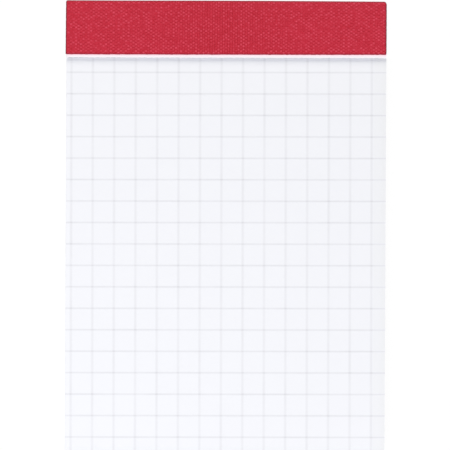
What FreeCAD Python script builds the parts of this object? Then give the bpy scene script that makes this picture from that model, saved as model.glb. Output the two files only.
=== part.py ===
import FreeCAD, Part
import math
import os

from FreeCAD import Vector

# Small top-bound pad of squared paper: a block of perforated leaves on a grey board, wire
# stapled through the head, with a cloth-grained strip folded over the head to hide the wire.
# One leaf group has been torn off, and its bare stub still stands out from under the strip.
# X runs across the page, +Y towards the bound head, +Z out of the page. The origin lies under
# the middle of the pad, on the plane that its lowest face rests on. Sizes are in millimetres.

# Leaves
leaf_width = 74.5
leaf_length = 105.0
leaf_thickness = 0.09
leaf_count = 80

# Backing board
board_thickness = 1.0

# Stub of the torn leaves, and how far it stands out past the strip to the tear
stub_thickness = 0.3
stub_reach = 0.72

# Binding strip: its cloth, how far it stands out past each side of the leaves, how far each
# flap reaches from the head, its rounded fold and corners, and how deep the board takes it
strip_thickness = 0.2
strip_overhang = 0.15
strip_front = 12.4
strip_back = 12.4
strip_fold_radius = 0.5
strip_corner_radius = 0.6
strip_bedding = 0.05

# Perforation: a row of cuts through every leaf, with short ties left between them
perforation_pitch = 1.25
perforation_cut = 0.95
perforation_gap = 0.12
torn_tie_length = 0.12

# Squared ruling printed on the page, measured from the leaf's left edge and the strip's edge
square = 5.0
line_width = 0.22
ink_thickness = 0.05
first_column = 1.15
first_row = 4.18

# Wire staples under the strip
staple_crown = 12.0
staple_spacing = 37.2
staple_from_head = 6.2
wire_width = 0.7
wire_thickness = 0.5
wire_bend_radius = 0.4
clinched_length = 4.2
staple_clearance = 0.03

# Heights of the faces that the pieces share, from the lowest upwards
board_bottom = strip_thickness - strip_bedding
board_top = board_bottom + board_thickness
page_top = board_top + leaf_count * leaf_thickness
stub_top = page_top + stub_thickness
pad_top = stub_top + strip_thickness

# Places along the pad, from the head to the foot
pad_length = leaf_length + strip_thickness
head = pad_length / 2
leaf_head = head - strip_thickness
front_flap_edge = head - strip_front
back_flap_edge = head - strip_back
tear_line = front_flap_edge - stub_reach
torn_edge = tear_line - torn_tie_length
foot = -pad_length / 2

# Widths across the pad
leaf_left = -leaf_width / 2
strip_width = leaf_width + 2 * strip_overhang


def slab(x_low, x_high, y_low, y_high, z_low, z_high):
    """Plain block between two corners."""
    size = Vector(x_high - x_low, y_high - y_low, z_high - z_low)
    return Part.makeBox(size.x, size.y, size.z, Vector(x_low, y_low, z_low))


def nose_outline(tail, nose, low, high, radius, place):
    """Outline that is square at its tail and rounded at both corners of its nose."""
    lean = radius * (1 - math.sqrt(0.5))
    low_arc = Part.Arc(
        place(nose - radius, low), place(nose - lean, low + lean), place(nose, low + radius)
    )
    high_arc = Part.Arc(
        place(nose, high - radius), place(nose - lean, high - lean), place(nose - radius, high)
    )
    sides = [
        Part.LineSegment(place(tail, low), place(nose - radius, low)),
        low_arc,
        Part.LineSegment(place(nose, low + radius), place(nose, high - radius)),
        high_arc,
        Part.LineSegment(place(nose - radius, high), place(tail, high)),
        Part.LineSegment(place(tail, high), place(tail, low)),
    ]
    return Part.Wire([side.toShape() for side in sides])


def headed_block(width, nose, bottom, top, corner_radius, fold_radius):
    """Block from the foot to its nose, rounded at the nose's upright corners and its two folds."""
    left = -width / 2
    plan = Part.Face(
        nose_outline(foot, nose, left, -left, corner_radius, lambda y, x: Vector(x, y, bottom))
    )
    section = Part.Face(
        nose_outline(foot, nose, bottom, top, fold_radius, lambda y, z: Vector(left, y, z))
    )
    upright = plan.extrude(Vector(0, 0, top - bottom))
    lying = section.extrude(Vector(width, 0, 0))
    return upright.common(lying)


def bound_stack():
    """Space that the board, the leaves and the stub fill together inside the strip."""
    corner_radius = strip_corner_radius - strip_thickness
    fold_radius = strip_fold_radius - strip_thickness
    return headed_block(
        leaf_width, leaf_head, strip_thickness, stub_top, corner_radius, fold_radius
    )


def layer(bottom, top):
    """Slice of the bound stack between two heights."""
    side = leaf_width / 2
    return bound_stack().common(slab(-side, side, foot, head, bottom, top))


def bent_wire(middle, grow):
    """Clinched staple about a place across the pad, or the pocket it lies in when grown."""
    outer_half = staple_crown / 2 + grow
    inner_half = staple_crown / 2 - wire_thickness - grow
    tip = staple_crown / 2 - clinched_length - grow
    across = wire_width / 2 + grow
    near = head - staple_from_head - across
    far = head - staple_from_head + across
    loop = rounded_loop(
        middle, outer_half, near, far, strip_thickness, stub_top, wire_bend_radius + wire_thickness
    )
    void = rounded_loop(
        middle,
        inner_half,
        near,
        far,
        strip_thickness + wire_thickness,
        stub_top - wire_thickness,
        wire_bend_radius,
    )
    opening = slab(
        middle - tip, middle + tip, near, far, strip_thickness, strip_thickness + wire_thickness
    )
    return loop.cut(void).cut(opening)


def rounded_loop(middle, half, near, far, bottom, top, radius):
    """Block whose four edges along Y are rounded."""
    block = slab(middle - half, middle + half, near, far, bottom, top)
    edges = [edge for edge in block.Edges if edge.BoundBox.YLength > (far - near) / 2]
    return block.makeFillet(radius, edges)


def staple_places():
    """Where the two staples stand across the pad."""
    return {"left": -staple_spacing / 2, "right": staple_spacing / 2}


def clear_of_staples(shape):
    """The shape with a pocket for each staple."""
    pockets = [bent_wire(middle, staple_clearance) for middle in staple_places().values()]
    return shape.cut(pockets)


def cut_starts():
    """Left end of each perforation cut, in a row centred on the leaf."""
    count = int(leaf_width / perforation_pitch)
    first = -count * perforation_pitch / 2 + (perforation_pitch - perforation_cut) / 2
    return [first + i * perforation_pitch for i in range(count)]


def backing_board():
    """Board whose back is pressed in by the strip's back flap."""
    side = leaf_width / 2
    free_back = slab(-side, side, foot, back_flap_edge, board_bottom, strip_thickness)
    board = layer(strip_thickness, board_top).fuse(free_back).removeSplitter()
    return clear_of_staples(board)


def ruled_sheets():
    """All the leaves as one block, with the perforation cut through them."""
    low = tear_line - perforation_gap / 2
    high = tear_line + perforation_gap / 2
    cuts = [slab(x, x + perforation_cut, low, high, board_top, page_top) for x in cut_starts()]
    return clear_of_staples(layer(board_top, page_top)).cut(cuts)


def torn_sheet_stub():
    """Stub with a nub of torn paper at each tie of the perforation."""
    side = leaf_width / 2
    points = [Vector(-side, head, page_top), Vector(-side, torn_edge, page_top)]
    for start in cut_starts():
        end = start + perforation_cut
        points.append(Vector(start, torn_edge, page_top))
        points.append(Vector(start, tear_line, page_top))
        points.append(Vector(end, tear_line, page_top))
        points.append(Vector(end, torn_edge, page_top))
    points.append(Vector(side, torn_edge, page_top))
    points.append(Vector(side, head, page_top))
    plan = Part.Face(Part.makePolygon(points + points[:1]))
    stub = plan.extrude(Vector(0, 0, stub_thickness)).common(layer(page_top, stub_top))
    return clear_of_staples(stub)


def binding_strip():
    """Strip folded over the head, a flap on the front and one on the back."""
    side = strip_width / 2
    cloth = headed_block(
        strip_width, head, 0, pad_top, strip_corner_radius, strip_fold_radius
    )
    corner_end = head - strip_corner_radius
    hollow = slab(-side, side, foot, corner_end, strip_thickness, stub_top)
    past_front = slab(-side, side, foot, front_flap_edge, board_top, pad_top)
    past_back = slab(-side, side, foot, back_flap_edge, 0, board_top)
    return cloth.cut([bound_stack(), hollow, past_front, past_back])


def printed_ruling():
    """Ink lines of the squares, as one lattice on the page."""
    side = leaf_width / 2
    half = line_width / 2
    ink_top = page_top + ink_thickness
    columns = int((leaf_width - first_column - half) / square) + 1
    rows = int((front_flap_edge - first_row - foot - half) / square) + 1
    bars = []
    for i in range(columns):
        x = leaf_left + first_column + i * square
        bars.append(slab(x - half, x + half, foot, torn_edge, page_top, ink_top))
    for j in range(rows):
        y = front_flap_edge - first_row - j * square
        bars.append(slab(-side, side, y - half, y + half, page_top, ink_top))
    return bars[0].fuse(bars[1:]).removeSplitter()


def write(node, shape):
    """Keeps one piece as a STEP file of its own."""
    shape.exportStep(os.path.join("parts", node + ".step"))
    print(node, len(shape.Solids), "solid", round(shape.Volume, 3), "mm3", shape.isValid())


os.makedirs("parts", exist_ok=True)
write("ruled_sheets", ruled_sheets())
write("backing_board", backing_board())
write("torn_sheet_stub", torn_sheet_stub())
write("binding_strip", binding_strip())
write("printed_ruling", printed_ruling())
for name, place in staple_places().items():
    write("staple_" + name, bent_wire(place, 0))
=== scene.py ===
"""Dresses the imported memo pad: leaves, ruling, torn stub, binding cloth, board, staples."""

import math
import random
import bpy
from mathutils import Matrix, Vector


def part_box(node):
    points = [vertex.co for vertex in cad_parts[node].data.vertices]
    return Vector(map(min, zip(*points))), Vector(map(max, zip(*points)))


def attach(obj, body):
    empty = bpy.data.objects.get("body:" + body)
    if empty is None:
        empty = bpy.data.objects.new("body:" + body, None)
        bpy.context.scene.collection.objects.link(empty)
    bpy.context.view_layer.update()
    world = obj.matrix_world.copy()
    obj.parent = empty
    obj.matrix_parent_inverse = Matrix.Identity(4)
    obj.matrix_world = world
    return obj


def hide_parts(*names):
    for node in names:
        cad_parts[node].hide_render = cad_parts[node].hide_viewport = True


bl_info = {
    "name": "Squared memo pad",
    "version": (1, 0, 0),
    "blender": (4, 5, 0),
    "location": "3D View > Sidebar > Memo pad",
    "description": "Builds the leaves, ruling, torn stub and binding cloth of a top-bound memo pad",
    "category": "Object",
}

import bpy
from bpy.props import FloatProperty, FloatVectorProperty, IntProperty, PointerProperty
from mathutils import Vector, noise

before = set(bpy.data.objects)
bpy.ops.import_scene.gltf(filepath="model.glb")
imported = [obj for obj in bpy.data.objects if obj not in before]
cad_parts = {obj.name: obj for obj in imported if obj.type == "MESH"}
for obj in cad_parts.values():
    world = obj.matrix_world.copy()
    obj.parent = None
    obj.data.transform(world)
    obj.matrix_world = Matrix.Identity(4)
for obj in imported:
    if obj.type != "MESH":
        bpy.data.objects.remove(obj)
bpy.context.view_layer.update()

MM = 0.001
SHEETS_LOW, SHEETS_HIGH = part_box("ruled_sheets")
STUB_LOW, STUB_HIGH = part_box("torn_sheet_stub")
STRIP_LOW, STRIP_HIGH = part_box("binding_strip")
STAPLES = [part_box("staple_left"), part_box("staple_right")]

PHOTO_SIDE = 450
PX_PER_MM = 4.291

# Staples: clearance round the wire, its thickness, and how far its bend reaches past that
WIRE_ROOM = 0.03 * MM
WIRE = 0.5 * MM
WIRE_BEND = 0.45 * MM

# Leaves: how far their corners at the head are taken in, how much further from the strip they
# tear than the solid stub does, and in what length behind the strip's edge they come to be held
HEAD_CORNER = 0.4 * MM
TEAR_OFFSET = 0.04 * MM
HELD_LENGTH = 5 * MM

# Grids: two lines this close are one, steps over the page, over its fore edge and near the
# tear, and the number of steps in which its edges come down
CLOSEST = 0.002 * MM
PAGE_STEP = 2.5 * MM
FORE_EDGE_STEP = 0.3 * MM
TEAR_STEP = 1.2 * MM
EDGE_STEPS = 7

# Ink: how far it stands clear of the page, and how far the page's own grid stays off a line
INK_ROOM = 0.001 * MM
LINE_ROOM = 0.05 * MM

# Weave, in pitches: half widths of the threads and of the ridge along a warp thread
WARP_HALF, WEFT_HALF, RIDGE_HALF = 0.53, 0.55, 0.4
# Height of a thread from its own roundness, and from its way over and under the others
WARP_ROUND, WARP_WAVE = 0.60, 0.34
WEFT_ROUND, WEFT_WAVE = 0.50, 0.24
# Size of the patches in which the weave is flatter or deeper
PATCH_X, PATCH_Y = 3.2 * MM, 2.4 * MM
# Shade of a plain thread, and how much crowns (painted highlight), hollows and gaps (painted
# shade), wear and chance change it
PLAIN_SHADE, CROWN_SHADE, HOLLOW_SHADE, GAP_SHADE = 0.56, 0.26, 0.46, 0.38
WEAR_SHADE, CHANCE_SHADE = 0.1, 0.06

# Cloth: columns of points to a warp thread, and how many columns its inner face reaches in
THREAD_COLUMNS = 4
HEM_COLUMNS = 8
# Where its edges are pressed, and where the painted shade of their dark rims ends, in from an end
# or a side
END_PRESS, SIDE_PRESS = (0.0, 0.4 * MM), (0.0, 0.25 * MM)
END_RIM, SIDE_RIM, FRAYED_RIM = (0.1 * MM, 0.35 * MM), (0.14 * MM, 0.26 * MM), (0.4 * MM, 0.55 * MM)
# Strength of the painted shade along the ends and the fold, and of the frayed side's rim, which is
# painted shade mixed with its dark thread ends
END_SHADE, FRAYED_TONE, FOLD_SHADE = 0.4, 0.5, 0.72

# Studio: places and sizes of the lamps in metres, half the floor's side and its gap to the pad
KEY_PLACE, KEY_SIZE = (0, 2.128, 0.95), (1.8, 1.06)
FILL_PLACE, FILL_SIZE = (-0.24, -0.5, 0.5), (0.5, 0.5)
FLOOR_HALF = 4.0
FLOOR_GAP = 0.1 * MM
# Floor: grey that light meets, grey and glow that the eye sees
FLOOR_GREY, SHADOW_GREY, FLOOR_GLOW = 0.8, 0.06, 0.965


def length_setting(name, description, millimetres):
    return FloatProperty(
        name=name, description=description, default=millimetres * MM, unit="LENGTH"
    )


def angle_setting(name, description, degrees):
    return FloatProperty(
        name=name, description=description, default=math.radians(degrees), subtype="ANGLE"
    )


def color_setting(name, description, color):
    return FloatVectorProperty(
        name=name, description=description, subtype="COLOR", default=color, min=0, max=1
    )


class LeafSettings(bpy.types.PropertyGroup):
    """The white leaves and the stub of the torn ones."""

    count: IntProperty(name="Leaves", description="Leaves in the pad", default=80, min=2)
    stub_count: IntProperty(name="Torn leaves", description="Leaves torn off", default=3, min=1)
    gap: length_setting("Air between leaves", "Gap between two leaves", 0.008)
    aside: length_setting("Place", "How far the leaves lie to the right under the strip", 0.13)
    # Painted shade: width of the band along the fore edge that is drawn darker
    handled: length_setting("Handled edge", "Width of the fore edge that hands have greyed", 3.2)
    jog: length_setting("Unevenness", "How far a leaf stands in from the block's sides", 0.07)
    short: length_setting("Foot unevenness", "How far a leaf falls short at the foot", 0.1)
    air: length_setting("Air under the page", "How far the top leaf stands off the block", 0.05)
    edge_fall: length_setting(
        "Edge", "Width in which the page comes down to the block at its edges", 1.3
    )
    corner_lift: length_setting(
        "Corner lift", "How far the top leaf's right foot corner lifts", 0.25
    )
    stub_rise: length_setting("Stub rise", "How far the stub comes up in front of the strip", 0.16)
    stub_curl: length_setting("Stub curl", "How much further the stub's torn edge curls up", 0.035)
    page_color: color_setting("Page", "Colour of the page", (0.93, 0.95, 0.98))
    # Painted shade: colour the page takes along its fore edge
    fore_edge_shade_color: color_setting(
        "Handled paper", "Colour of the page at its fore edge", (0.90, 0.92, 0.935)
    )
    stub_color: color_setting("Stub", "Colour of the torn stub", (0.995, 0.965, 1.0))
    dyed_color: color_setting(
        "Dyed stub", "Colour of the stub where the cloth's dye has bled", (1.0, 0.66, 0.79)
    )


class PerforationSettings(bpy.types.PropertyGroup):
    """The row of cuts that the leaves tear along."""

    pitch: length_setting("Pitch", "From one cut to the next", 1.25)
    cut: length_setting("Cut", "Length of one cut", 0.95)
    gap: length_setting("Cut width", "Width of one cut", 0.12)
    tie: length_setting("Torn tie", "How far a torn tie stands out", 0.12)


class RulingSettings(bpy.types.PropertyGroup):
    """The printed squares."""

    square: length_setting("Square", "Side of a square", 5.0)
    upright_core: length_setting("Upright line", "Width of an upright line's full tone", 0.2)
    upright_spread: length_setting(
        "Upright spread", "Width of an upright line with the ink that spread", 0.9
    )
    across_core: length_setting("Line across", "Width of the full tone of a line across", 0.14)
    across_spread: length_setting(
        "Spread across", "Width of a line across with the ink that spread", 0.56
    )
    first_column: length_setting(
        "First column", "From the leaf's left edge to the first upright line", 1.22
    )
    first_row: length_setting("First row", "From the strip's edge to the first line across", 4.345)
    upright_turn: angle_setting(
        "Upright turn", "How far the upright lines are turned on the leaf", 0.136
    )
    across_turn: angle_setting(
        "Turn across", "How far the lines across are turned on the leaf", 0.193
    )
    upright_tone: FloatProperty(
        name="Upright tone", description="Strength of the upright lines", default=0.37, min=0, max=1
    )
    across_tone: FloatProperty(
        name="Tone across", description="Strength of the lines across", default=0.55, min=0, max=1
    )
    film: length_setting("Ink", "Thickness of the ink", 0.005)
    ink_color: color_setting("Ink colour", "Colour of the lines", (0.727, 0.74, 0.77))


class ClothSettings(bpy.types.PropertyGroup):
    """The binding cloth."""

    warp_pitch: length_setting("Warp pitch", "Between two threads that run towards the head", 0.583)
    weft_pitch: length_setting("Weft pitch", "Between two threads that run across the pad", 0.383)
    relief: length_setting("Relief", "Depth of the weave", 0.06)
    thickness: length_setting("Thickness", "Thickness of the cloth", 0.2)
    press: length_setting("Pressed edge", "How much thinner the glued edges are", 0.08)
    fold_radius: length_setting("Fold", "Radius of the folds at the head", 0.5)
    left_radius: length_setting("Left corner", "Radius of the left corner at the head", 0.35)
    right_radius: length_setting("Right corner", "Radius of the right corner at the head", 0.65)
    flap_radius: length_setting("Flap corner", "Radius of the front flap's right corner", 0.35)
    taper: length_setting("Taper", "How far the left side draws in towards the head", 0.06)
    bow: length_setting("Bow", "How far the head stands out in its middle", 0.07)
    overlap: length_setting("Overlap", "How far the front flap reaches past the back one", 0.166)
    sag: length_setting("Sag", "How far the front flap's edge hangs lower in its middle", 0.028)
    skew: angle_setting("Skew", "How far off square the flap's edge is cut", 0.144)
    # Painted shade: the dark red of the weave's gaps and hollows
    gap_color: color_setting("Gaps", "Red between the threads", (0.34, 0.0005, 0.005))
    thread_color: color_setting("Threads", "Red of the threads", (0.565, 0.0195, 0.043))
    # Painted highlight on the thread crowns; pale random nubs use it too
    crown_color: color_setting(
        "Crowns", "Paler red where a thread stands highest", (0.78, 0.092, 0.15)
    )
    # Painted shade: dark red along the cut edges and the fold
    rim_color: color_setting(
        "Rim", "Dark red along the cut edges and the fold", (0.19, 0.012, 0.028)
    )


class StudioSettings(bpy.types.PropertyGroup):
    """The camera, the lamps and the floor."""

    camera_height: FloatProperty(
        name="Camera height", description="Above the page", default=1.0, unit="LENGTH"
    )
    look_x: length_setting("Look across", "Middle of the picture, from the pad's middle", -0.05)
    look_y: length_setting("Look up", "Middle of the picture, from the pad's middle", 0.3)
    turn: angle_setting("Camera turn", "The pad lies a little clockwise in the picture", 0.28)
    key_watts: FloatProperty(name="Key", description="Lamp beyond the head", default=41.4)
    key_color: color_setting(
        "Key colour", "Colour of the lamp beyond the head", (1.0, 0.963, 0.873)
    )
    fill_watts: FloatProperty(name="Fill", description="Lamp before the foot", default=3.4)
    sky: FloatProperty(name="Sky", description="Strength of the even light", default=0.387)
    sky_color: color_setting("Sky colour", "Colour of the even light", (0.955, 0.95, 1.0))


class MemoPadSettings(bpy.types.PropertyGroup):
    """All settings of the pad."""

    leaf: PointerProperty(type=LeafSettings)
    perforation: PointerProperty(type=PerforationSettings)
    ruling: PointerProperty(type=RulingSettings)
    cloth: PointerProperty(type=ClothSettings)
    studio: PointerProperty(type=StudioSettings)


def settings():
    return bpy.context.scene.memo_pad


# Shapes


class Piece:
    """Points, faces and point values of one piece while it is made."""

    def __init__(self):
        self.verts, self.faces, self.smooth, self.values = [], [], [], {}

    def add_vert(self, x, y, z, **values):
        self.verts.append((x, y, z))
        for name, value in values.items():
            self.values.setdefault(name, []).append(value)
        return len(self.verts) - 1

    def add_face(self, corners, smooth=False):
        self.faces.append(corners)
        self.smooth.append(smooth)

    def add_sheet(self, xs, ys, kept, top_of, thickness, marks):
        """Adds a thin closed sheet made of the grid cells that kept() allows.

        marks() gives the point values by name at each crossing of the grid.
        """
        cells = set()
        for i in range(len(xs) - 1):
            for j in range(len(ys) - 1):
                if kept((xs[i] + xs[i + 1]) / 2, (ys[j] + ys[j + 1]) / 2):
                    cells.add((i, j))
        index = {}

        def corner(column, row, under):
            key = (column, row, under)
            if key not in index:
                x, y, z = top_of(xs[column], ys[row])
                values = marks(xs[column], ys[row])
                index[key] = self.add_vert(x, y, z - under * thickness, **values)
            return index[key]

        for i, j in sorted(cells):
            ring = [(i, j), (i + 1, j), (i + 1, j + 1), (i, j + 1)]
            beside = [(i, j - 1), (i + 1, j), (i, j + 1), (i - 1, j)]
            self.add_face([corner(a, b, 0) for a, b in ring])
            self.add_face([corner(a, b, 1) for a, b in reversed(ring)])
            for k in range(4):
                if beside[k] not in cells:
                    a, b = ring[k], ring[(k + 1) % 4]
                    self.add_face([corner(*a, 1), corner(*b, 1), corner(*b, 0), corner(*a, 0)])

    def make(self, name, material, node):
        """Makes the object, which stands for a node of the frame."""
        if not self.faces:
            raise RuntimeError(f"{name} has no faces")
        mesh = bpy.data.meshes.new(name)
        mesh.from_pydata(self.verts, [], self.faces)
        mesh.polygons.foreach_set("use_smooth", self.smooth)
        for key, values in self.values.items():
            mesh.attributes.new(key, "FLOAT", "POINT").data.foreach_set("value", values)
        mesh.materials.append(material)
        made = bpy.data.objects.new(name, mesh)
        bpy.context.scene.collection.objects.link(made)
        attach(made, "root")
        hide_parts(node)
        return made


def clamped(value, low=0.0, high=1.0):
    return max(low, min(high, value))


def smoothstep(low, high, value):
    t = clamped((value - low) / (high - low))
    return t * t * (3 - 2 * t)


def fade(near, far, distance):
    """1 up to a near distance, and 0 from a far one on."""
    return 1 - smoothstep(near, far, distance)


def spread_values(low, high, step):
    """Even values from low to high, about a step apart."""
    count = max(1, round((high - low) / step))
    return [low + (high - low) * i / count for i in range(count + 1)]


def merged(*groups):
    """All the values in order, without near doubles."""
    values = []
    for value in sorted(v for group in groups for v in group):
        if not values or value - values[-1] > CLOSEST:
            values.append(value)
    return values


def in_staple(x, y, low_z, high_z):
    """Whether a staple's wire, with its bends, passes between two heights here."""
    room, bend = WIRE_ROOM, WIRE + WIRE_BEND
    for low, high in STAPLES:
        if low.x - room < x < high.x + room and low.y - room < y < high.y + room:
            if high_z > high.z - WIRE or low_z < low.z:
                return True
            return x < low.x + bend or x > high.x - bend
    return False


def staple_columns():
    """Where a leaf's grid has to be split so that the wire passes through it."""
    room, bend = WIRE_ROOM, WIRE + WIRE_BEND
    return [
        x
        for low, high in STAPLES
        for x in (low.x - room, low.x + bend, high.x - bend, high.x + room)
    ]


def staple_rows():
    low, high = STAPLES[0]
    return [low.y - WIRE_ROOM, high.y + WIRE_ROOM]


def head_rows(top):
    """Rows that let a leaf's corners at the head be taken in."""
    return [top - HEAD_CORNER, top]


def head_corner(x, y, top):
    """x with the corners at the head taken in."""
    return x * (1 - HEAD_CORNER / SHEETS_HIGH.x) if y == top else x


def flap_edge(x):
    """Where the front flap ends at x: it is cut a little off square and hangs in its middle."""
    cloth = settings().cloth
    sag_middle, sag_half = -8 * MM, 34 * MM
    sag = cloth.sag * (1 - ((x - sag_middle) / sag_half) ** 2)
    return STRIP_LOW.y - cloth.overlap - sag + x * math.tan(cloth.skew)


def tear_line(x):
    """Centre line of the perforation at x."""
    reach = STRIP_LOW.y - STUB_LOW.y - settings().perforation.tie
    return flap_edge(x) - reach - TEAR_OFFSET


def perforation_starts():
    """Left end of each cut of the perforation."""
    cuts = settings().perforation
    width = SHEETS_HIGH.x - SHEETS_LOW.x
    count = int(width / cuts.pitch)
    first = -count * cuts.pitch / 2 + (cuts.pitch - cuts.cut) / 2
    return [first + i * cuts.pitch for i in range(count)]


def page_sides():
    """Left and right edge of the top leaf."""
    leaf = settings().leaf
    return SHEETS_LOW.x + leaf.aside, SHEETS_HIGH.x + leaf.aside


def page_height(x, y):
    """Height of the top leaf: air lies under it, its edges come down, and one corner lifts."""
    leaf = settings().leaf
    left, right = page_sides()
    inside = min(x - left, right - x, y - SHEETS_LOW.y)
    rise_length, wave_x, wave_y, lift_from = 9 * MM, 29 * MM, 37 * MM, 0.65
    off_head = smoothstep(0.0, rise_length, tear_line(x) - y)
    wave = 0.75 + 0.5 * noise.noise(Vector((x / wave_x, y / wave_y, 3.7)))
    along = (tear_line(x) - y) / (tear_line(x) - SHEETS_LOW.y)
    lift = max(0.0, (along - lift_from) / (1 - lift_from)) * max(0.0, x / right)
    rise = leaf.air * wave * off_head * smoothstep(0.0, leaf.edge_fall, inside)
    return SHEETS_HIGH.z + rise + leaf.corner_lift * lift**3


def page_columns():
    """Columns close enough together for the page's edges to come down smoothly."""
    left, right = page_sides()
    leaf = settings().leaf
    fall, step = leaf.edge_fall, leaf.edge_fall / EDGE_STEPS
    return [
        *spread_values(left, left + fall, step),
        *spread_values(left + fall, right - fall, PAGE_STEP),
        *spread_values(right - leaf.handled, right - fall, FORE_EDGE_STEP),
        *spread_values(right - fall, right, step),
    ]


def page_rows():
    """Rows of the page up to the tear, closer together at the foot and near the tear."""
    fall = settings().leaf.edge_fall
    foot, line = SHEETS_LOW.y, tear_line(0)
    near_line, last = line - 10 * MM, line - 0.3 * MM
    return [
        *spread_values(foot, foot + fall, fall / EDGE_STEPS),
        *spread_values(foot + fall, near_line, PAGE_STEP),
        *spread_values(near_line, last, TEAR_STEP),
    ]


# Finishes


class Finish:
    """A material under construction, with short ways to add its nodes."""

    def __init__(self, name):
        self.material = bpy.data.materials.new(name)
        self.material.use_nodes = True
        self.tree = self.material.node_tree
        self.shader = self.tree.nodes["Principled BSDF"]
        self.place = self.tree.nodes.new("ShaderNodeTexCoord").outputs["Object"]

    def node(self, kind, **values):
        made = self.tree.nodes.new(kind)
        for key, value in values.items():
            setattr(made, key, value)
        return made

    def link(self, start, end):
        self.tree.links.new(start, end)

    def feed(self, socket, value):
        """Links another node's output to a socket, or sets a plain value on it."""
        if isinstance(value, bpy.types.NodeSocket):
            self.link(value, socket)
        elif isinstance(value, (int, float)):
            socket.default_value = value
        else:
            socket.default_value = (*value[:3], 1.0)

    def grain(self, size, detail):
        """Noise with grains this many millimetres wide, or of three widths along the axes."""
        sizes = size if isinstance(size, tuple) else (size, size, size)
        mapping = self.node("ShaderNodeMapping")
        mapping.inputs["Scale"].default_value = [1 / (side * MM) for side in sizes]
        self.link(self.place, mapping.inputs["Vector"])
        made = self.node("ShaderNodeTexNoise")
        made.inputs["Scale"].default_value = 1.0
        made.inputs["Detail"].default_value = detail
        self.link(mapping.outputs["Vector"], made.inputs["Vector"])
        return made.outputs["Fac"]

    def ramp(self, value, low, high, start=0.0, end=1.0):
        """Carries a value from one range over to another, and stops at its ends."""
        made = self.node("ShaderNodeMapRange")
        limits = {"From Min": low, "From Max": high, "To Min": start, "To Max": end}
        for name, limit in limits.items():
            made.inputs[name].default_value = limit
        self.link(value, made.inputs["Value"])
        return made.outputs["Result"]

    def attribute(self, name):
        return self.node("ShaderNodeAttribute", attribute_name=name).outputs["Fac"]

    def worked_out(self, operation, first, second):
        made = self.node("ShaderNodeMath", operation=operation)
        self.feed(made.inputs[0], first)
        self.feed(made.inputs[1], second)
        return made.outputs["Value"]

    def times(self, first, second):
        return self.worked_out("MULTIPLY", first, second)

    def plus(self, first, second):
        return self.worked_out("ADD", first, second)

    def mix(self, factor, first, second):
        """Blends two colours, each a colour or another node's output."""
        made = self.node("ShaderNodeMix", data_type="RGBA")
        colors = [socket for socket in made.inputs if socket.type == "RGBA"]
        self.feed(made.inputs[0], factor)
        self.feed(colors[0], first)
        self.feed(colors[1], second)
        return next(socket for socket in made.outputs if socket.type == "RGBA")

    def color(self, value):
        self.link(value, self.shader.inputs["Base Color"])

    def rough(self, value):
        self.link(value, self.shader.inputs["Roughness"])

    def specular(self, level):
        self.shader.inputs["Specular IOR Level"].default_value = level

    def bump(self, height, depth, strength):
        made = self.node("ShaderNodeBump")
        made.inputs["Distance"].default_value = depth
        made.inputs["Strength"].default_value = strength
        self.link(height, made.inputs["Height"])
        self.link(made.outputs["Normal"], self.shader.inputs["Normal"])


def shaded(color, factor):
    """A colour made lighter or darker."""
    return tuple(min(1.0, c * factor) for c in color[:3])


def paper_tone(paper, color):
    """Cloudy formation and fine fibres of uncoated paper, as colour and as tooth."""
    clouds = paper.ramp(paper.grain(3.5, 3), 0.3, 0.7)
    fibres = paper.ramp(paper.grain(0.14, 4), 0.35, 0.65)
    tone = paper.mix(clouds, shaded(color, 0.994), shaded(color, 1.004))
    return paper.mix(paper.times(fibres, 0.5), tone, shaded(color, 0.985)), fibres


def paper_finish(name, color, stain_or_shade, stain_or_shade_color):
    """Uncoated paper with a soft tooth, tinted where a point value says so; on the top page that
    tint is painted shade along its fore edge.
    """
    paper = Finish(name)
    tone, fibres = paper_tone(paper, color)
    # Random tone and tints on the other pieces, and painted shade along the top page's fore edge
    paper.color(paper.mix(paper.attribute(stain_or_shade), tone, stain_or_shade_color))
    paper.rough(paper.ramp(fibres, 0, 1, 0.78, 0.9))
    paper.specular(0.25)
    paper.bump(paper.grain(0.08, 3), 0.002 * MM, 0.5)
    return paper.material


def ink_finish():
    """Thin print that fades into the paper beside each line, overprints and drifts in strength."""
    ruling = settings().ruling
    ink = Finish("ruling_print")
    paper, fibres = paper_tone(ink, settings().leaf.page_color)
    drift = ink.ramp(ink.grain(7, 2), 0.3, 0.7, 0.74, 1.2)
    breaks = ink.ramp(ink.grain(0.18, 3), 0.35, 0.7, 1.0, 0.8)
    upright = ink.times(ink.attribute("upright"), ruling.upright_tone)
    across = ink.times(ink.attribute("across"), ruling.across_tone)
    strength = ink.times(ink.times(ink.plus(upright, across), drift), breaks)
    ink.color(ink.mix(strength, paper, ruling.ink_color))
    ink.rough(ink.ramp(fibres, 0, 1, 0.75, 0.88))
    ink.specular(0.25)
    return ink.material


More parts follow.
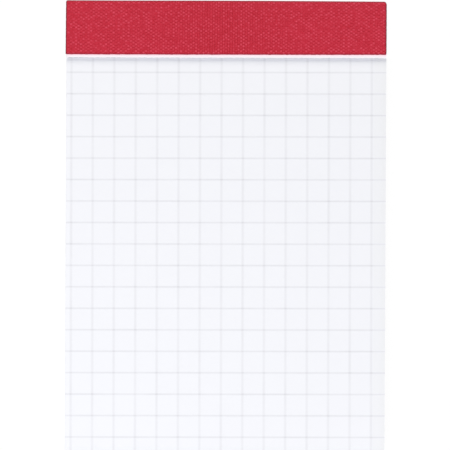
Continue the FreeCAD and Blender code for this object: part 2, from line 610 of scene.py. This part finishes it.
def cloth_finish():
    """Dyed plain weave: gaps and hollows with painted shade, crowns paler with painted highlight
    and wear, slubs and fine fibres.
    """
    look = settings().cloth
    cloth = Finish("red_binding_cloth")
    shade, rim = cloth.attribute("shade"), cloth.attribute("rim")
    fibres = cloth.ramp(cloth.grain((0.05, 0.5, 0.5), 3), 0.35, 0.65)
    # Painted shade towards the gaps, painted highlight and wear towards the crowns
    body = cloth.mix(cloth.ramp(shade, 0.0, 0.5), look.gap_color, look.thread_color)
    worn = cloth.mix(cloth.ramp(shade, 0.5, 1.0), body, look.crown_color)
    fine = cloth.mix(cloth.times(fibres, 0.25), worn, shaded(look.thread_color, 0.8))
    pale_nubs = cloth.ramp(cloth.grain((0.26, 0.22, 0.26), 1), 0.45, 0.75, 0.0, 0.3)
    dark_nubs = cloth.ramp(cloth.grain((0.22, 0.26, 0.22), 1), 0.48, 0.75, 0.0, 0.3)
    nubbed = cloth.mix(pale_nubs, fine, look.crown_color)
    faded = cloth.mix(dark_nubs, nubbed, look.gap_color)
    # Painted shade along the cut edges and the fold
    cloth.color(cloth.mix(rim, faded, look.rim_color))
    cloth.rough(cloth.ramp(fibres, 0, 1, 0.55, 0.75))
    cloth.specular(0.2)
    cloth.bump(fibres, 0.006 * MM, 0.6)
    return cloth.material


def chipboard_finish():
    """Grey recycled board: mottled pulp, pale and dark flecks, and layers at its cut edges."""
    board = Finish("grey_chipboard")
    pulp = board.ramp(board.grain(1.6, 5), 0.3, 0.7)
    layers = board.ramp(board.grain((3, 3, 0.08), 3), 0.3, 0.7, 0.0, 0.35)
    dark = board.ramp(board.grain((0.3, 0.9, 0.3), 2), 0.66, 0.72)
    pale = board.ramp(board.grain((1.1, 0.35, 0.35), 2), 0.67, 0.73)
    tone = board.mix(pulp, (0.27, 0.26, 0.235), (0.36, 0.35, 0.32))
    tone = board.mix(layers, tone, (0.22, 0.21, 0.19))
    tone = board.mix(dark, tone, (0.12, 0.115, 0.11))
    board.color(board.mix(pale, tone, (0.58, 0.57, 0.53)))
    board.rough(board.ramp(pulp, 0, 1, 0.82, 0.94))
    board.specular(0.2)
    board.bump(board.grain(0.2, 4), 0.012 * MM, 0.6)
    return board.material


def wire_finish():
    """Drawn galvanised wire: long fine scratches on a bright zinc skin."""
    wire = Finish("staple_wire")
    wire.shader.inputs["Metallic"].default_value = 1.0
    drawn = wire.grain((1.2, 0.03, 1.2), 3)
    spangle = wire.ramp(wire.grain(0.4, 2), 0.35, 0.65)
    wire.color(wire.mix(spangle, (0.5, 0.51, 0.52), (0.68, 0.68, 0.67)))
    wire.rough(wire.ramp(drawn, 0.3, 0.7, 0.28, 0.45))
    wire.bump(drawn, 0.003 * MM, 0.4)
    return wire.material


# Operators


class MEMOPAD_OT_leaf_block(bpy.types.Operator):
    """Stacks every leaf but the top one, each a little off its neighbour"""

    bl_idname = "memo_pad.leaf_block"
    bl_label = "Leaf block"

    def execute(self, context):
        leaf = settings().leaf
        rng = random.Random(11)
        pitch = (SHEETS_HIGH.z - SHEETS_LOW.z) / leaf.count
        thickness = pitch - leaf.gap
        let_go, held_sway = 1 / 6, 0.3
        xs = merged([SHEETS_LOW.x, SHEETS_HIGH.x], staple_columns())
        ys = merged([SHEETS_LOW.y], head_rows(SHEETS_HIGH.y), staple_rows())
        stack = Piece()
        for k in range(leaf.count - 1):
            top = SHEETS_LOW.z + (k + 1) * pitch
            sway = rng.uniform(-1, 1) * leaf.jog
            short = rng.random() ** 2 * leaf.short
            worn = {"worn": rng.random() ** 2}

            def top_of(x, y):
                free = (SHEETS_HIGH.y - y) / (SHEETS_HIGH.y - SHEETS_LOW.y)
                shift = leaf.aside * min(1.0, free / let_go)
                shift += sway * (held_sway + (1 - held_sway) * free)
                foot = short if y == SHEETS_LOW.y else 0.0
                side = min(head_corner(x, y, SHEETS_HIGH.y) + shift, STRIP_HIGH.x)
                return (side, y + foot, top)

            stack.add_sheet(
                xs, ys, lambda x, y: not in_staple(x, y, top - thickness, top), top_of, thickness,
                lambda x, y: worn,
            )
        block_color, worn_color = shaded(leaf.page_color, 0.985), shaded(leaf.page_color, 0.78)
        finish = paper_finish("leaf_paper", block_color, "worn", worn_color)
        stack.make("leaf_block", finish, "ruled_sheets")
        return {"FINISHED"}


class MEMOPAD_OT_top_leaf(bpy.types.Operator):
    """Lays the top leaf, with its perforation, on the block"""

    bl_idname = "memo_pad.top_leaf"
    bl_label = "Top leaf"

    def execute(self, context):
        leaf = settings().leaf
        cuts = settings().perforation
        starts = perforation_starts()
        ends = [start + cuts.cut for start in starts]
        thickness = (SHEETS_HIGH.z - SHEETS_LOW.z) / leaf.count - leaf.gap
        line, turned_length = tear_line(0), 6 * MM
        left, right = page_sides()
        slots = [x for x in starts + ends if left < x < right]
        xs = merged(page_columns(), slots, staple_columns())
        ys = merged(
            page_rows(), [line - cuts.gap / 2, line + cuts.gap / 2], staple_rows(),
            head_rows(SHEETS_HIGH.y),
        )

        def kept(x, y):
            if abs(y - line) < cuts.gap / 2 and any(a < x < b for a, b in zip(starts, ends)):
                return False
            return not in_staple(x, y, SHEETS_HIGH.z - thickness, SHEETS_HIGH.z)

        def top_of(x, y):
            near = max(0.0, 1 - abs(y - line) / turned_length)
            held = smoothstep(line, line + HELD_LENGTH, y)
            side = head_corner(x, y, SHEETS_HIGH.y) - leaf.aside * held
            row = y + (tear_line(x) - line) * near
            return (side, row, page_height(x, row))

        # Painted shade along the fore edge, in two steps of grey
        def marks(x, y):
            inside = (right - x) / leaf.handled
            grey, greyer = smoothstep(1.0, 0.8, inside), smoothstep(0.6, 0, inside)
            return {"handled": 0.6 * grey + 0.4 * greyer}

        page = Piece()
        page.add_sheet(xs, ys, kept, top_of, thickness, marks)
        finish = paper_finish("page_paper", leaf.page_color, "handled", leaf.fore_edge_shade_color)
        page.make("top_leaf", finish, "ruled_sheets")
        return {"FINISHED"}


class MEMOPAD_OT_ruling(bpy.types.Operator):
    """Prints the squares on the top leaf as one film of ink"""

    bl_idname = "memo_pad.ruling"
    bl_label = "Printed squares"

    def execute(self, context):
        ruling = settings().ruling
        left, right = page_sides()
        foot, head = SHEETS_LOW.y, STUB_LOW.y
        middle = (foot + head) / 2
        wide, core_x = ruling.upright_spread / 2, ruling.upright_core / 2
        high, core_y = ruling.across_spread / 2, ruling.across_core / 2
        columns = self.places(left + ruling.first_column, right - wide, ruling.square)
        rows = self.places(STRIP_LOW.y - ruling.first_row, foot + high, -ruling.square)
        inner_columns = [x for x in page_columns() if left < x < right]
        inner_rows = [y for y in page_rows() if foot < y < head]
        xs = merged([left, right], [c + d for c in columns for d in (-wide, -core_x, core_x, wide)])
        ys = merged([foot, head], [r + d for r in rows for d in (-high, -core_y, core_y, high)])
        xs = self.filled(xs, inner_columns, columns, wide)
        ys = self.filled(ys, inner_rows, rows, high)

        def near(value, lines, reach):
            return any(abs(value - line) < reach + INK_ROOM for line in lines)

        def kept(x, y):
            return near(x, columns, wide) or near(y, rows, high)

        def marks(x, y):
            return {"upright": near(x, columns, core_x), "across": near(y, rows, core_y)}

        def top_of(x, y):
            turned_x = x if x in (left, right) else x - ruling.upright_turn * (y - middle)
            turned_y = y + ruling.across_turn * x
            if y == foot:
                turned_y = foot
            if y == head:
                turned_y = tear_line(x) - settings().perforation.gap / 2
            turned_x = clamped(turned_x, left, right)
            lift = ruling.film + INK_ROOM
            return (turned_x, turned_y, page_height(turned_x, turned_y) + lift)

        print_film = Piece()
        print_film.add_sheet(xs, ys, kept, top_of, ruling.film, marks)
        print_film.make("ruling_print", ink_finish(), "printed_ruling")
        return {"FINISHED"}

    def places(self, first, last, step):
        """Centre of each line, from the first to the last that fits."""
        return [first + i * step for i in range(int((last - first) / step) + 1)]

    def filled(self, values, extra, lines, half):
        """Adds the page's own rows or columns where no line runs."""
        clear = [v for v in extra if all(abs(v - line) > half + LINE_ROOM for line in lines)]
        return merged(values, clear)


def torn_edge_of_leaf(rng, xs):
    """How far each column of one torn leaf falls short of the longest torn tie."""
    cuts = settings().perforation
    start = perforation_starts()[0]
    ties = {}
    bite_count, ripple, wave = 14, 0.3 * MM, 5 * MM
    bites = [
        (rng.uniform(xs[0], xs[-1]), rng.uniform(0.2, 0.5) * MM, rng.uniform(0.05, 0.16) * MM)
        for _ in range(bite_count)
    ]
    seed = rng.uniform(0, 50)
    edge = []
    for x in xs:
        number = math.floor((x - start) / cuts.pitch)
        on_tie = x - start - number * cuts.pitch > cuts.cut
        tie = ties.setdefault(number, rng.uniform(0.2, 1.0) * cuts.tie)
        short = cuts.tie - (tie if on_tie else 0.0)
        short += 0.05 * MM * noise.noise(Vector((x / ripple, seed, 0)))
        short += 0.04 * MM * noise.noise(Vector((x / wave, seed, 9)))
        for place, half, depth in bites:
            short += depth * max(0.0, 1 - abs(x - place) / half)
        edge.append(max(0.0, short))
    return edge


class MEMOPAD_OT_torn_stub(bpy.types.Operator):
    """Leaves the stubs of the torn leaves under the strip, ragged and a little curled"""

    bl_idname = "memo_pad.torn_stub"
    bl_label = "Torn stub"

    def execute(self, context):
        leaf = settings().leaf
        rng = random.Random(5)
        pitch = (STUB_HIGH.z - STUB_LOW.z) / leaf.stub_count
        thickness = pitch - leaf.gap
        left, right = page_sides()
        column_step, layer_step, dye_fall = 0.12 * MM, 0.05 * MM, 1.55
        xs = merged(spread_values(left, right, column_step), staple_columns())
        columns = {x: i for i, x in enumerate(xs)}
        # Each row in front of the strip stands for a share of the way from the flap to the tear
        visible = [0.0, 0.1, 0.2, 0.35, 0.55, 0.75, 0.9, 1.0]
        rows = {STRIP_LOW.y - MM * share: share for share in visible}
        ys = merged(rows, head_rows(STUB_HIGH.y), staple_rows(), [STRIP_LOW.y + MM])
        stub = Piece()
        for k in range(leaf.stub_count):
            top = STUB_LOW.z + (k + 1) * pitch
            edge = torn_edge_of_leaf(rng, xs)
            back = layer_step * (leaf.stub_count - 1 - k)

            def top_of(x, y):
                if y not in rows:
                    held = smoothstep(STRIP_LOW.y, STRIP_LOW.y + HELD_LENGTH, y)
                    return (head_corner(x, y, STUB_HIGH.y) - leaf.aside * held, y, top)
                share = rows[y]
                start = flap_edge(x)
                end = tear_line(x) - settings().perforation.tie + edge[columns[x]] + back
                rise = leaf.stub_rise * smoothstep(-0.3, 0.4, share) + leaf.stub_curl * share**2
                return (x, start + (end - start) * share, top + rise)

            stub.add_sheet(
                xs, ys, lambda x, y: not in_staple(x, y, top - thickness, top), top_of, thickness,
                lambda x, y: {"dyed": max(0.0, 1 - dye_fall * rows.get(y, 0.0))},
            )
        finish = paper_finish("stub_paper", leaf.stub_color, "dyed", leaf.dyed_color)
        stub.make("torn_stub", finish, "torn_sheet_stub")
        return {"FINISHED"}


def bowed(offset, half):
    """1 in the middle of a thread or ridge, and 0 past half its width."""
    return max(0.0, 1 - (offset / half) ** 2)


def weave(x, s, slubs):
    """Height of the woven face here, its shade from a gap darkened by painted shade to a crown
    paled by painted highlight and wear, and its relief.
    """
    cloth = settings().cloth
    u, v = x / cloth.warp_pitch, s / cloth.weft_pitch
    i, j = round(u), round(v)
    over = math.cos(math.pi * (v + i))
    warp_bow, weft_bow = bowed(u - i, WARP_HALF) ** 0.5, bowed(v - j, WEFT_HALF) ** 0.5
    warp = WARP_ROUND * warp_bow + WARP_WAVE * over + slubs[i % len(slubs)]
    weft = WEFT_ROUND * weft_bow - WEFT_WAVE * math.cos(math.pi * (u + j))
    weft += slubs[(j * 7 + 3) % len(slubs)]
    wear = noise.cell(Vector((i + 0.5, j + 0.5, 4.5)))
    patch = noise.noise(Vector((x / PATCH_X, s / PATCH_Y, 1.3)))
    contrast = clamped(0.52 + 0.55 * wear + 0.3 * patch)
    # Painted highlight on the crowns, painted shade in the hollows and in the gaps between warp
    # threads
    crown = smoothstep(0.0, 0.85, over * bowed(u - i, RIDGE_HALF)) * contrast
    hollow = smoothstep(0.1, 0.95, -over) * contrast
    shade = PLAIN_SHADE + CROWN_SHADE * crown + WEAR_SHADE * wear
    shade -= max(HOLLOW_SHADE * hollow, GAP_SHADE * fade(0.3, 0.75, warp_bow))
    shade += CHANCE_SHADE * noise.noise(Vector((u * 1.3, v * 0.4, 8.1)))
    return clamped(max(warp, weft)), clamped(shade), clamped(0.75 + 0.25 * patch, 0.35)


def rounded(x, radius):
    """How far a corner of this radius lies back at x."""
    past = abs(x) - (STRIP_HIGH.x - radius)
    if past <= 0:
        return 0.0
    return radius - math.sqrt(max(0.0, radius**2 - past**2))


def nose_at(x):
    """Where the head of the strip stands at x: bowed in its middle, rounded at its corners."""
    cloth = settings().cloth
    radius = cloth.right_radius if x > 0 else cloth.left_radius
    bow_middle, bow_half = 8 * MM, 30 * MM
    off_middle = min(1.0, ((x - bow_middle) / bow_half) ** 2)
    return STRIP_HIGH.y - cloth.bow * off_middle - rounded(x, radius)


def strip_rows():
    """Rows of the strip's face, from the front flap's edge over the head to the back's."""
    cloth = settings().cloth
    radius = cloth.fold_radius
    flap = STRIP_HIGH.y - STRIP_LOW.y - radius
    wall = STRIP_HIGH.z - STRIP_LOW.z - 2 * radius
    fold = math.pi / 2 * radius
    fine, coarse = cloth.weft_pitch / 4, cloth.weft_pitch / 2
    zones = (
        ("front", flap, fine), ("front_fold", fold, fine), ("wall", wall, coarse),
        ("back_fold", fold, coarse), ("back", flap, coarse),
    )
    rows, start = [], 0.0
    for zone, length, step in zones:
        count = round(length / step)
        for n in range(count):
            rows.append((zone, n / count, start + length * n / count, step == fine))
        start += length
    rows.append(("back", 1.0, start, False))
    return rows


def strip_point(x, zone, share):
    """Place of the strip's outer face in the pad's side view, and the way it faces."""
    radius = settings().cloth.fold_radius
    nose = nose_at(x)
    top, bottom = STRIP_HIGH.z, STRIP_LOW.z
    angle = math.pi / 2 * share
    across, along = math.sin(angle), math.cos(angle)
    if zone == "front":
        edge = flap_edge(x) + (rounded(x, settings().cloth.flap_radius) if x > 0 else 0.0)
        return edge + (nose - radius - edge) * share, top, 0.0, 1.0
    if zone == "front_fold":
        return nose - radius + radius * across, top - radius + radius * along, across, along
    if zone == "wall":
        return nose, top - radius - (top - bottom - 2 * radius) * share, 1.0, 0.0
    if zone == "back_fold":
        return nose - radius + radius * along, bottom + radius - radius * across, along, -across
    return nose - radius - (nose - radius - STRIP_LOW.y) * share, bottom, 0.0, -1.0


class MEMOPAD_OT_binding_cloth(bpy.types.Operator):
    """Weaves the binding cloth and folds it over the head"""

    bl_idname = "memo_pad.binding_cloth"
    bl_label = "Binding cloth"

    def execute(self, context):
        cloth = settings().cloth
        rows = strip_rows()
        columns = THREAD_COLUMNS * round(2 * STRIP_HIGH.x / cloth.warp_pitch)
        strip = Piece()
        self.add_faces(strip, rows, columns, *self.add_verts(strip, rows, columns))
        made = strip.make("binding_cloth", cloth_finish(), "binding_strip")
        return {"FINISHED"}

    def add_verts(self, strip, rows, columns):
        """Points of the woven outer face, and of the inner face where it is needed."""
        cloth = settings().cloth
        rng = random.Random(23)
        slubs = [rng.gauss(0, 0.05) for _ in range(211)]
        warp_ends = [rng.random() ** 2 * 0.07 * MM for _ in range(columns // THREAD_COLUMNS + 2)]
        weft_ends = [rng.random() ** 3 * 0.035 * MM for _ in range(len(rows) // 2 + 2)]
        half_width = STRIP_HIGH.x
        last = len(rows) - 1
        length = rows[last][2]
        outer, inner = {}, {}
        for v, (zone, share, s, is_fine) in enumerate(rows):
            for i in range(0, columns + 1, 1 if is_fine else 2):
                x = -half_width + 2 * half_width * i / columns
                y, z, out_y, out_z = strip_point(x, zone, share)
                height, shade, relief = weave(x, s, slubs)
                to_side, to_end = half_width - abs(x), min(s, length - s)
                sunk = cloth.relief * (1 - height) * relief
                sunk += cloth.press * fade(*END_PRESS, to_end)
                sunk += 0.4 * cloth.press * fade(*SIDE_PRESS, to_side)
                rim = self.rim(x, s, zone, share, to_side, to_end)
                if v in (0, last):
                    y -= warp_ends[i // THREAD_COLUMNS] * (1 if v == 0 else -1)
                if i in (0, columns):
                    x -= math.copysign(weft_ends[int(s / cloth.weft_pitch)], x)
                if x < 0:
                    drawn_in = share if zone == "front" else 1.0
                    x *= 1 - cloth.taper / half_width * drawn_in
                outer[v, i] = strip.add_vert(
                    x, y - out_y * sunk, z - out_z * sunk, shade=shade, rim=rim
                )
                # The inner face and the cut faces get painted shade: a dark thread shade and a dark
                # rim
                if v in (0, last) or i <= HEM_COLUMNS or i >= columns - HEM_COLUMNS:
                    inner[v, i] = strip.add_vert(
                        x, y - out_y * cloth.thickness, z - out_z * cloth.thickness,
                        shade=0.3, rim=0.6,
                    )
        return outer, inner

    def rim(self, x, s, zone, share, to_side, to_end):
        """Painted shade along the cut edges and the fold, and along the frayed side, where it is
        mixed with the dark thread ends.
        """
        rim = max(fade(*SIDE_RIM, to_side), END_SHADE * fade(*END_RIM, to_end))
        if x > 0:
            pitch = settings().cloth.weft_pitch
            frayed = 0.55 + 0.45 * noise.cell(Vector((7.5, s / pitch, 0.5)))
            rim *= 0.7 + 0.3 * frayed
            rim = max(rim, FRAYED_TONE * frayed * fade(*FRAYED_RIM, to_side))
        # Painted shade where the cloth turns over the head
        if zone == "front_fold":
            fold = smoothstep(0.12, 0.4, share) * fade(0.85, 1.0, share)
            rim = max(rim, FOLD_SHADE * fold)
        return rim

    def add_faces(self, strip, rows, columns, outer, inner):
        """Outer face, inner face and cut edges."""
        last = len(rows) - 1
        for v in range(last):
            fine, fine_next = rows[v][3], rows[v + 1][3]
            step = 1 if fine and fine_next else 2
            for i in range(0, columns, step):
                face = [outer[v, i], outer[v + 1, i], outer[v + 1, i + step], outer[v, i + step]]
                if fine and not fine_next:
                    face.append(outer[v, i + 1])
                strip.add_face(face[::-1], smooth=True)
            ends = [i for i in range(columns + 1) if (v, i) in inner and (v + 1, i) in inner]
            for a, b in zip(ends, ends[1:]):
                near = [inner[v, i] for i in range(a, b + 1) if (v, i) in inner]
                far = [inner[v + 1, i] for i in range(a, b + 1) if (v + 1, i) in inner]
                strip.add_face(far[::-1] + near)
            for i in (0, columns):
                face = [outer[v, i], outer[v + 1, i], inner[v + 1, i], inner[v, i]]
                strip.add_face(face if i == 0 else face[::-1])
        for v in (0, last):
            along = [i for i in range(columns + 1) if (v, i) in outer]
            for a, b in zip(along, along[1:]):
                face = [outer[v, a], outer[v, b], inner[v, b], inner[v, a]]
                strip.add_face(face[::-1] if v == 0 else face)


class MEMOPAD_OT_board_and_staples(bpy.types.Operator):
    """Gives the backing board and the staples their finish"""

    bl_idname = "memo_pad.board_and_staples"
    bl_label = "Board and staples"

    def execute(self, context):
        board, wire = chipboard_finish(), wire_finish()
        finishes = {"backing_board": board, "staple_left": wire, "staple_right": wire}
        for node, finish in finishes.items():
            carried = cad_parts[node]
            carried.data.materials.clear()
            carried.data.materials.append(finish)
        return {"FINISHED"}


# Studio


def lamp(name, place, size, watts, color):
    """Soft box lamp that faces the middle of the page."""
    light = bpy.data.lights.new(name, "AREA")
    light.shape = "RECTANGLE"
    light.size, light.size_y = size
    light.energy = watts
    light.color = color
    made = bpy.data.objects.new(name, light)
    made.location = place
    facing = Vector((0, 0, SHEETS_HIGH.z)) - Vector(place)
    made.rotation_euler = facing.to_track_quat("-Z", "Y").to_euler()
    bpy.context.scene.collection.objects.link(made)


def seen_by_eye(tree):
    """1 for what the camera, a reflection or glass sees, 0 for light that falls on the pad."""
    path = tree.nodes.new("ShaderNodeLightPath")
    seen = path.outputs["Is Camera Ray"]
    for way in ("Is Glossy Ray", "Is Transmission Ray"):
        either = tree.nodes.new("ShaderNodeMath")
        either.operation = "MAXIMUM"
        tree.links.new(seen, either.inputs[0])
        tree.links.new(path.outputs[way], either.inputs[1])
        seen = either.outputs[0]
    return seen


def show_apart(tree, to_light, to_eye, output):
    """Ends a tree in one shader for the light that falls on the pad and another for the eye."""
    mix = tree.nodes.new("ShaderNodeMixShader")
    tree.links.new(seen_by_eye(tree), mix.inputs[0])
    tree.links.new(to_light.outputs[0], mix.inputs[1])
    tree.links.new(to_eye.outputs[0], mix.inputs[2])
    tree.links.new(mix.outputs[0], output.inputs["Surface"])


def floor_finish():
    """White floor that keeps a faint shadow."""
    material = bpy.data.materials.new("white_floor")
    material.use_nodes = True
    tree = material.node_tree
    tree.nodes.clear()
    plain = tree.nodes.new("ShaderNodeBsdfDiffuse")
    shadow = tree.nodes.new("ShaderNodeBsdfDiffuse")
    for shader, grey in ((plain, FLOOR_GREY), (shadow, SHADOW_GREY)):
        shader.inputs["Color"].default_value = (grey, grey, grey, 1)
    glow = tree.nodes.new("ShaderNodeEmission")
    glow.inputs["Strength"].default_value = FLOOR_GLOW
    seen = tree.nodes.new("ShaderNodeAddShader")
    tree.links.new(shadow.outputs[0], seen.inputs[0])
    tree.links.new(glow.outputs[0], seen.inputs[1])
    show_apart(tree, plain, seen, tree.nodes.new("ShaderNodeOutputMaterial"))
    return material


class MEMOPAD_OT_stage(bpy.types.Operator):
    """Sets the floor, the lamps and the camera"""

    bl_idname = "memo_pad.stage"
    bl_label = "Studio"

    def execute(self, context):
        studio = settings().studio
        scene = context.scene
        self.add_floor(scene)
        self.add_sky(scene, studio)
        lamp("key", KEY_PLACE, KEY_SIZE, studio.key_watts, studio.key_color)
        lamp("fill", FILL_PLACE, FILL_SIZE, studio.fill_watts, studio.sky_color)
        self.add_camera(scene, studio)
        scene.view_settings.view_transform = "Standard"
        return {"FINISHED"}

    def add_floor(self, scene):
        side = FLOOR_HALF
        verts = [(-side, -side, 0), (side, -side, 0), (side, side, 0), (-side, side, 0)]
        mesh = bpy.data.meshes.new("floor")
        mesh.from_pydata(verts, [], [(0, 1, 2, 3)])
        floor = bpy.data.objects.new("floor", mesh)
        floor.location.z = -FLOOR_GAP
        mesh.materials.append(floor_finish())
        scene.collection.objects.link(floor)

    def add_sky(self, scene, studio):
        world = bpy.data.worlds.new("studio")
        world.use_nodes = True
        tree = world.node_tree
        light = tree.nodes["Background"]
        light.inputs["Color"].default_value = (*studio.sky_color, 1)
        light.inputs["Strength"].default_value = studio.sky
        backdrop = tree.nodes.new("ShaderNodeBackground")
        backdrop.inputs["Color"].default_value = (1, 1, 1, 1)
        backdrop.inputs["Strength"].default_value = 1.0
        show_apart(tree, light, backdrop, tree.nodes["World Output"])
        scene.world = world

    def add_camera(self, scene, studio):
        """Looks straight down, with a lens that takes in as much as the photograph does."""
        data = bpy.data.cameras.new("camera")
        data.sensor_width = 36.0
        data.lens = data.sensor_width * studio.camera_height / (PHOTO_SIDE / PX_PER_MM * MM)
        data.clip_start = 0.05
        data.clip_end = 10.0
        camera = bpy.data.objects.new("camera", data)
        camera.location = (studio.look_x, studio.look_y, SHEETS_HIGH.z + studio.camera_height)
        camera.rotation_euler = (0.0, 0.0, studio.turn)
        scene.collection.objects.link(camera)
        scene.camera = camera


class MEMOPAD_PT_panel(bpy.types.Panel):
    """Lists the pad's pieces and settings"""

    bl_idname = "MEMOPAD_PT_panel"
    bl_label = "Memo pad"
    bl_space_type = "VIEW_3D"
    bl_region_type = "UI"
    bl_category = "Memo pad"

    def draw(self, context):
        column = self.layout.column()
        for operator in OPERATORS:
            column.operator(operator.bl_idname)
        pad = context.scene.memo_pad
        for group in (pad.leaf, pad.perforation, pad.ruling, pad.cloth, pad.studio):
            box = self.layout.box()
            for name in group.__annotations__:
                box.prop(group, name)


OPERATORS = (
    MEMOPAD_OT_leaf_block,
    MEMOPAD_OT_top_leaf,
    MEMOPAD_OT_ruling,
    MEMOPAD_OT_torn_stub,
    MEMOPAD_OT_binding_cloth,
    MEMOPAD_OT_board_and_staples,
    MEMOPAD_OT_stage,
)
CLASSES = (
    LeafSettings,
    PerforationSettings,
    RulingSettings,
    ClothSettings,
    StudioSettings,
    MemoPadSettings,
    *OPERATORS,
    MEMOPAD_PT_panel,
)


def register():
    for cls in CLASSES:
        bpy.utils.register_class(cls)
    bpy.types.Scene.memo_pad = PointerProperty(type=MemoPadSettings)


def unregister():
    del bpy.types.Scene.memo_pad
    for cls in reversed(CLASSES):
        bpy.utils.unregister_class(cls)


def main():
    register()
    bpy.ops.memo_pad.leaf_block()
    bpy.ops.memo_pad.top_leaf()
    bpy.ops.memo_pad.ruling()
    bpy.ops.memo_pad.torn_stub()
    bpy.ops.memo_pad.binding_cloth()
    bpy.ops.memo_pad.board_and_staples()
    bpy.ops.memo_pad.stage()


if __name__ == "__main__":
    main()
